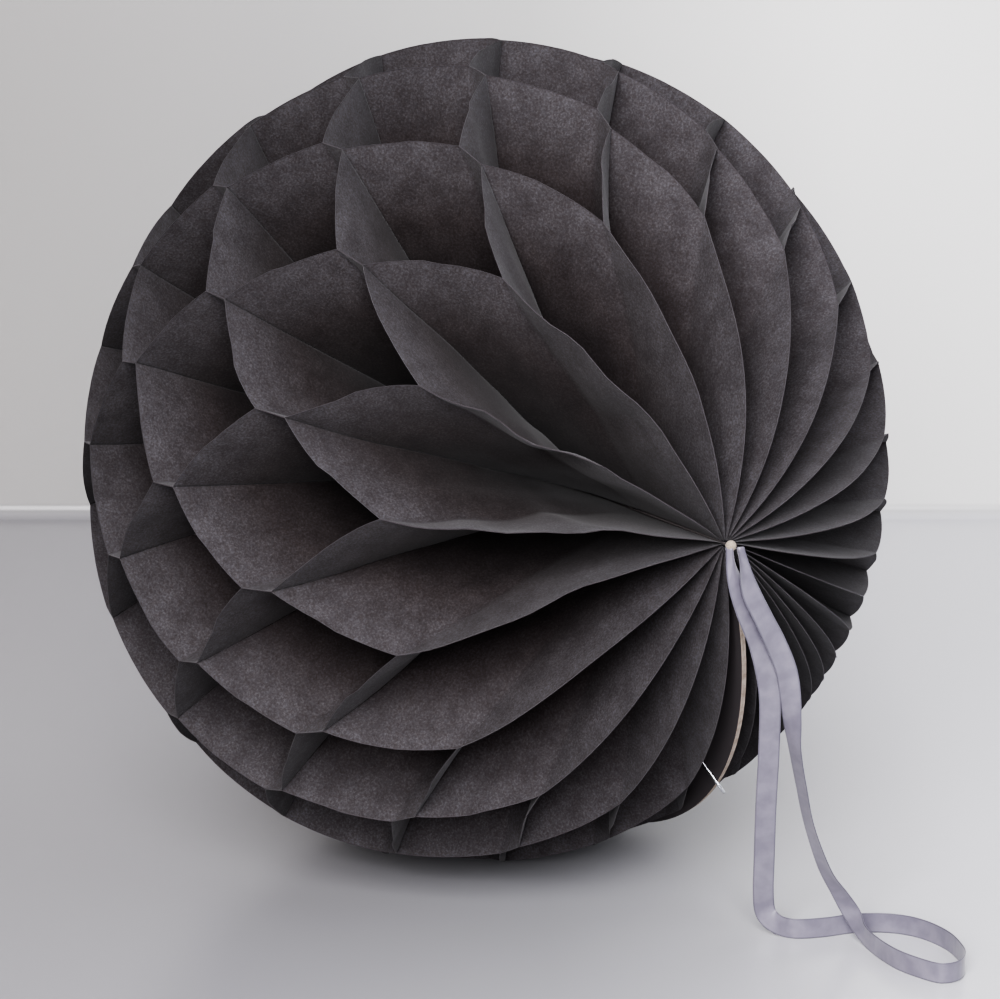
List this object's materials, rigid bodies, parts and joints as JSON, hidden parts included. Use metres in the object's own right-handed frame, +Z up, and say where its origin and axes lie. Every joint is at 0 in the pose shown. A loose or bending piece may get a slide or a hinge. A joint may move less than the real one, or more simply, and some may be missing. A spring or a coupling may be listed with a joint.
{
  "type": "paper honeycomb ball",
  "caption": "Round tissue-paper honeycomb ball decoration that folds flat between two card covers, held open by a wire clip, with a ribbon hanging loop.",
  "frame": {"origin": "on the table under the middle of the ball, at the bottom centre of its box without the ribbon", "axes": "+Z up; the thread spine lies along Y, with the ribbon at its -Y end; +X to the right seen from the ribbon's end"},
  "size_m": [0.2499, 0.2955, 0.2468],
  "materials": {
    "tissue": "matt tissue paper, dyed charcoal, slightly see-through",
    "card": "matt grey-brown chipboard",
    "thread": "dark waxed cotton thread, matt",
    "knot": "cream cotton thread",
    "ribbon": "lilac-grey satin weave, soft sheen",
    "wire": "bright plated steel wire"
  },
  "bodies": {
    "front_cover": {"front_cover": "card", "sheet_01": "tissue", "spine_thread": "thread", "ribbon_knot": "knot", "far_knot": "knot", "ribbon_loop": "ribbon"},
    "back_cover": {"back_cover": "card", "sheet_48": "tissue"},
    "sheet_02": {"sheet_02": "tissue"},
    "sheet_03": {"sheet_03": "tissue"},
    "sheet_04": {"sheet_04": "tissue"},
    "sheet_05": {"sheet_05": "tissue"},
    "sheet_06": {"sheet_06": "tissue"},
    "sheet_07": {"sheet_07": "tissue"},
    "sheet_08": {"sheet_08": "tissue"},
    "sheet_09": {"sheet_09": "tissue"},
    "sheet_10": {"sheet_10": "tissue"},
    "sheet_11": {"sheet_11": "tissue"},
    "sheet_12": {"sheet_12": "tissue"},
    "sheet_13": {"sheet_13": "tissue"},
    "sheet_14": {"sheet_14": "tissue"},
    "sheet_15": {"sheet_15": "tissue"},
    "sheet_16": {"sheet_16": "tissue"},
    "sheet_17": {"sheet_17": "tissue"},
    "sheet_18": {"sheet_18": "tissue"},
    "sheet_19": {"sheet_19": "tissue"},
    "sheet_20": {"sheet_20": "tissue"},
    "sheet_21": {"sheet_21": "tissue"},
    "sheet_22": {"sheet_22": "tissue"},
    "sheet_23": {"sheet_23": "tissue"},
    "sheet_24": {"sheet_24": "tissue"},
    "sheet_25": {"sheet_25": "tissue"},
    "sheet_26": {"sheet_26": "tissue"},
    "sheet_27": {"sheet_27": "tissue"},
    "sheet_28": {"sheet_28": "tissue"},
    "sheet_29": {"sheet_29": "tissue"},
    "sheet_30": {"sheet_30": "tissue"},
    "sheet_31": {"sheet_31": "tissue"},
    "sheet_32": {"sheet_32": "tissue"},
    "sheet_33": {"sheet_33": "tissue"},
    "sheet_34": {"sheet_34": "tissue"},
    "sheet_35": {"sheet_35": "tissue"},
    "sheet_36": {"sheet_36": "tissue"},
    "sheet_37": {"sheet_37": "tissue"},
    "sheet_38": {"sheet_38": "tissue"},
    "sheet_39": {"sheet_39": "tissue"},
    "sheet_40": {"sheet_40": "tissue"},
    "sheet_41": {"sheet_41": "tissue"},
    "sheet_42": {"sheet_42": "tissue"},
    "sheet_43": {"sheet_43": "tissue"},
    "sheet_44": {"sheet_44": "tissue"},
    "sheet_45": {"sheet_45": "tissue"},
    "sheet_46": {"sheet_46": "tissue"},
    "sheet_47": {"sheet_47": "tissue"},
    "paper_clip": {"paper_clip": "wire"}
  },
  "joints": [
    {"name": "fold_covers", "type": "hinge", "parent": "front_cover", "child": "back_cover", "pos_m": [0, 0, 0.122], "axis": [0, 1, 0], "range_deg": [0, 326]},
    {"name": "turn_sheet_02", "type": "hinge", "parent": "front_cover", "child": "sheet_02", "pos_m": [0, 0, 0.122], "axis": [0, 1, 0], "range_deg": [0, 4.99]},
    {"name": "turn_sheet_03", "type": "hinge", "parent": "front_cover", "child": "sheet_03", "pos_m": [0, 0, 0.122], "axis": [0, 1, 0], "range_deg": [0, 8.76]},
    {"name": "turn_sheet_04", "type": "hinge", "parent": "front_cover", "child": "sheet_04", "pos_m": [0, 0, 0.122], "axis": [0, 1, 0], "range_deg": [0, 11.88]},
    {"name": "turn_sheet_05", "type": "hinge", "parent": "front_cover", "child": "sheet_05", "pos_m": [0, 0, 0.122], "axis": [0, 1, 0], "range_deg": [0, 14.44]},
    {"name": "turn_sheet_06", "type": "hinge", "parent": "front_cover", "child": "sheet_06", "pos_m": [0, 0, 0.122], "axis": [0, 1, 0], "range_deg": [0, 16.56]},
    {"name": "turn_sheet_07", "type": "hinge", "parent": "front_cover", "child": "sheet_07", "pos_m": [0, 0, 0.122], "axis": [0, 1, 0], "range_deg": [0, 18.38]},
    {"name": "turn_sheet_08", "type": "hinge", "parent": "front_cover", "child": "sheet_08", "pos_m": [0, 0, 0.122], "axis": [0, 1, 0], "range_deg": [0, 20.01]},
    {"name": "turn_sheet_09", "type": "hinge", "parent": "front_cover", "child": "sheet_09", "pos_m": [0, 0, 0.122], "axis": [0, 1, 0], "range_deg": [0, 21.58]},
    {"name": "turn_sheet_10", "type": "hinge", "parent": "front_cover", "child": "sheet_10", "pos_m": [0, 0, 0.122], "axis": [0, 1, 0], "range_deg": [0, 23.2]},
    {"name": "turn_sheet_11", "type": "hinge", "parent": "front_cover", "child": "sheet_11", "pos_m": [0, 0, 0.122], "axis": [0, 1, 0], "range_deg": [0, 24.97]},
    {"name": "turn_sheet_12", "type": "hinge", "parent": "front_cover", "child": "sheet_12", "pos_m": [0, 0, 0.122], "axis": [0, 1, 0], "range_deg": [0, 26.98]},
    {"name": "turn_sheet_13", "type": "hinge", "parent": "front_cover", "child": "sheet_13", "pos_m": [0, 0, 0.122], "axis": [0, 1, 0], "range_deg": [0, 29.29]},
    {"name": "turn_sheet_14", "type": "hinge", "parent": "front_cover", "child": "sheet_14", "pos_m": [0, 0, 0.122], "axis": [0, 1, 0], "range_deg": [0, 31.97]},
    {"name": "turn_sheet_15", "type": "hinge", "parent": "front_cover", "child": "sheet_15", "pos_m": [0, 0, 0.122], "axis": [0, 1, 0], "range_deg": [0, 35.06]},
    {"name": "turn_sheet_16", "type": "hinge", "parent": "front_cover", "child": "sheet_16", "pos_m": [0, 0, 0.122], "axis": [0, 1, 0], "range_deg": [0, 38.57]},
    {"name": "turn_sheet_17", "type": "hinge", "parent": "front_cover", "child": "sheet_17", "pos_m": [0, 0, 0.122], "axis": [0, 1, 0], "range_deg": [0, 42.52]},
    {"name": "turn_sheet_18", "type": "hinge", "parent": "front_cover", "child": "sheet_18", "pos_m": [0, 0, 0.122], "axis": [0, 1, 0], "range_deg": [0, 46.93]},
    {"name": "turn_sheet_19", "type": "hinge", "parent": "front_cover", "child": "sheet_19", "pos_m": [0, 0, 0.122], "axis": [0, 1, 0], "range_deg": [0, 51.79]},
    {"name": "turn_sheet_20", "type": "hinge", "parent": "front_cover", "child": "sheet_20", "pos_m": [0, 0, 0.122], "axis": [0, 1, 0], "range_deg": [0, 57.09]},
    {"name": "turn_sheet_21", "type": "hinge", "parent": "front_cover", "child": "sheet_21", "pos_m": [0, 0, 0.122], "axis": [0, 1, 0], "range_deg": [0, 62.84]},
    {"name": "turn_sheet_22", "type": "hinge", "parent": "front_cover", "child": "sheet_22", "pos_m": [0, 0, 0.122], "axis": [0, 1, 0], "range_deg": [0, 69.03]},
    {"name": "turn_sheet_23", "type": "hinge", "parent": "front_cover", "child": "sheet_23", "pos_m": [0, 0, 0.122], "axis": [0, 1, 0], "range_deg": [0, 75.66]},
    {"name": "turn_sheet_24", "type": "hinge", "parent": "front_cover", "child": "sheet_24", "pos_m": [0, 0, 0.122], "axis": [0, 1, 0], "range_deg": [0, 82.75]},
    {"name": "turn_sheet_25", "type": "hinge", "parent": "front_cover", "child": "sheet_25", "pos_m": [0, 0, 0.122], "axis": [0, 1, 0], "range_deg": [0, 90.3]},
    {"name": "turn_sheet_26", "type": "hinge", "parent": "front_cover", "child": "sheet_26", "pos_m": [0, 0, 0.122], "axis": [0, 1, 0], "range_deg": [0, 98.32]},
    {"name": "turn_sheet_27", "type": "hinge", "parent": "front_cover", "child": "sheet_27", "pos_m": [0, 0, 0.122], "axis": [0, 1, 0], "range_deg": [0, 106.82]},
    {"name": "turn_sheet_28", "type": "hinge", "parent": "front_cover", "child": "sheet_28", "pos_m": [0, 0, 0.122], "axis": [0, 1, 0], "range_deg": [0, 115.83]},
    {"name": "turn_sheet_29", "type": "hinge", "parent": "front_cover", "child": "sheet_29", "pos_m": [0, 0, 0.122], "axis": [0, 1, 0], "range_deg": [0, 125.34]},
    {"name": "turn_sheet_30", "type": "hinge", "parent": "front_cover", "child": "sheet_30", "pos_m": [0, 0, 0.122], "axis": [0, 1, 0], "range_deg": [0, 135.36]},
    {"name": "turn_sheet_31", "type": "hinge", "parent": "front_cover", "child": "sheet_31", "pos_m": [0, 0, 0.122], "axis": [0, 1, 0], "range_deg": [0, 145.87]},
    {"name": "turn_sheet_32", "type": "hinge", "parent": "front_cover", "child": "sheet_32", "pos_m": [0, 0, 0.122], "axis": [0, 1, 0], "range_deg": [0, 156.86]},
    {"name": "turn_sheet_33", "type": "hinge", "parent": "front_cover", "child": "sheet_33", "pos_m": [0, 0, 0.122], "axis": [0, 1, 0], "range_deg": [0, 168.28]},
    {"name": "turn_sheet_34", "type": "hinge", "parent": "front_cover", "child": "sheet_34", "pos_m": [0, 0, 0.122], "axis": [0, 1, 0], "range_deg": [0, 180.07]},
    {"name": "turn_sheet_35", "type": "hinge", "parent": "front_cover", "child": "sheet_35", "pos_m": [0, 0, 0.122], "axis": [0, 1, 0], "range_deg": [0, 192.17]},
    {"name": "turn_sheet_36", "type": "hinge", "parent": "front_cover", "child": "sheet_36", "pos_m": [0, 0, 0.122], "axis": [0, 1, 0], "range_deg": [0, 204.49]},
    {"name": "turn_sheet_37", "type": "hinge", "parent": "front_cover", "child": "sheet_37", "pos_m": [0, 0, 0.122], "axis": [0, 1, 0], "range_deg": [0, 216.92]},
    {"name": "turn_sheet_38", "type": "hinge", "parent": "front_cover", "child": "sheet_38", "pos_m": [0, 0, 0.122], "axis": [0, 1, 0], "range_deg": [0, 229.33]},
    {"name": "turn_sheet_39", "type": "hinge", "parent": "front_cover", "child": "sheet_39", "pos_m": [0, 0, 0.122], "axis": [0, 1, 0], "range_deg": [0, 241.61]},
    {"name": "turn_sheet_40", "type": "hinge", "parent": "front_cover", "child": "sheet_40", "pos_m": [0, 0, 0.122], "axis": [0, 1, 0], "range_deg": [0, 253.62]},
    {"name": "turn_sheet_41", "type": "hinge", "parent": "front_cover", "child": "sheet_41", "pos_m": [0, 0, 0.122], "axis": [0, 1, 0], "range_deg": [0, 265.23]},
    {"name": "turn_sheet_42", "type": "hinge", "parent": "front_cover", "child": "sheet_42", "pos_m": [0, 0, 0.122], "axis": [0, 1, 0], "range_deg": [0, 276.32]},
    {"name": "turn_sheet_43", "type": "hinge", "parent": "front_cover", "child": "sheet_43", "pos_m": [0, 0, 0.122], "axis": [0, 1, 0], "range_deg": [0, 286.77]},
    {"name": "turn_sheet_44", "type": "hinge", "parent": "front_cover", "child": "sheet_44", "pos_m": [0, 0, 0.122], "axis": [0, 1, 0], "range_deg": [0, 296.49]},
    {"name": "turn_sheet_45", "type": "hinge", "parent": "front_cover", "child": "sheet_45", "pos_m": [0, 0, 0.122], "axis": [0, 1, 0], "range_deg": [0, 305.39]},
    {"name": "turn_sheet_46", "type": "hinge", "parent": "front_cover", "child": "sheet_46", "pos_m": [0, 0, 0.122], "axis": [0, 1, 0], "range_deg": [0, 313.43]},
    {"name": "turn_sheet_47", "type": "hinge", "parent": "front_cover", "child": "sheet_47", "pos_m": [0, 0, 0.122], "axis": [0, 1, 0], "range_deg": [0, 320.56]},
    {"name": "pull_clip", "type": "slide", "parent": "front_cover", "child": "paper_clip", "axis": [0.2067, -0.7071, -0.6762], "range_m": [0, 0.025]}
  ],
  "couplings": [
    {"joint": "turn_sheet_02", "follows": "fold_covers", "ratio": 0.01378},
    {"joint": "turn_sheet_03", "follows": "fold_covers", "ratio": 0.02535},
    {"joint": "turn_sheet_04", "follows": "fold_covers", "ratio": 0.0349},
    {"joint": "turn_sheet_05", "follows": "fold_covers", "ratio": 0.04275},
    {"joint": "turn_sheet_06", "follows": "fold_covers", "ratio": 0.04927},
    {"joint": "turn_sheet_07", "follows": "fold_covers", "ratio": 0.05484},
    {"joint": "turn_sheet_08", "follows": "fold_covers", "ratio": 0.05985},
    {"joint": "turn_sheet_09", "follows": "fold_covers", "ratio": 0.06466},
    {"joint": "turn_sheet_10", "follows": "fold_covers", "ratio": 0.06963},
    {"joint": "turn_sheet_11", "follows": "fold_covers", "ratio": 0.07506},
    {"joint": "turn_sheet_12", "follows": "fold_covers", "ratio": 0.08122},
    {"joint": "turn_sheet_13", "follows": "fold_covers", "ratio": 0.08832},
    {"joint": "turn_sheet_14", "follows": "fold_covers", "ratio": 0.09654},
    {"joint": "turn_sheet_15", "follows": "fold_covers", "ratio": 0.106},
    {"joint": "turn_sheet_16", "follows": "fold_covers", "ratio": 0.11677},
    {"joint": "turn_sheet_17", "follows": "fold_covers", "ratio": 0.12891},
    {"joint": "turn_sheet_18", "follows": "fold_covers", "ratio": 0.14242},
    {"joint": "turn_sheet_19", "follows": "fold_covers", "ratio": 0.15732},
    {"joint": "turn_sheet_20", "follows": "fold_covers", "ratio": 0.17359},
    {"joint": "turn_sheet_21", "follows": "fold_covers", "ratio": 0.19122},
    {"joint": "turn_sheet_22", "follows": "fold_covers", "ratio": 0.21021},
    {"joint": "turn_sheet_23", "follows": "fold_covers", "ratio": 0.23056},
    {"joint": "turn_sheet_24", "follows": "fold_covers", "ratio": 0.2523},
    {"joint": "turn_sheet_25", "follows": "fold_covers", "ratio": 0.27545},
    {"joint": "turn_sheet_26", "follows": "fold_covers", "ratio": 0.30005},
    {"joint": "turn_sheet_27", "follows": "fold_covers", "ratio": 0.32614},
    {"joint": "turn_sheet_28", "follows": "fold_covers", "ratio": 0.35377},
    {"joint": "turn_sheet_29", "follows": "fold_covers", "ratio": 0.38294},
    {"joint": "turn_sheet_30", "follows": "fold_covers", "ratio": 0.41367},
    {"joint": "turn_sheet_31", "follows": "fold_covers", "ratio": 0.44593},
    {"joint": "turn_sheet_32", "follows": "fold_covers", "ratio": 0.47963},
    {"joint": "turn_sheet_33", "follows": "fold_covers", "ratio": 0.51466},
    {"joint": "turn_sheet_34", "follows": "fold_covers", "ratio": 0.55084},
    {"joint": "turn_sheet_35", "follows": "fold_covers", "ratio": 0.58796},
    {"joint": "turn_sheet_36", "follows": "fold_covers", "ratio": 0.62574},
    {"joint": "turn_sheet_37", "follows": "fold_covers", "ratio": 0.66385},
    {"joint": "turn_sheet_38", "follows": "fold_covers", "ratio": 0.70193},
    {"joint": "turn_sheet_39", "follows": "fold_covers", "ratio": 0.73959},
    {"joint": "turn_sheet_40", "follows": "fold_covers", "ratio": 0.77643},
    {"joint": "turn_sheet_41", "follows": "fold_covers", "ratio": 0.81206},
    {"joint": "turn_sheet_42", "follows": "fold_covers", "ratio": 0.84608},
    {"joint": "turn_sheet_43", "follows": "fold_covers", "ratio": 0.87814},
    {"joint": "turn_sheet_44", "follows": "fold_covers", "ratio": 0.90795},
    {"joint": "turn_sheet_45", "follows": "fold_covers", "ratio": 0.93526},
    {"joint": "turn_sheet_46", "follows": "fold_covers", "ratio": 0.9599},
    {"joint": "turn_sheet_47", "follows": "fold_covers", "ratio": 0.98178}
  ]
}
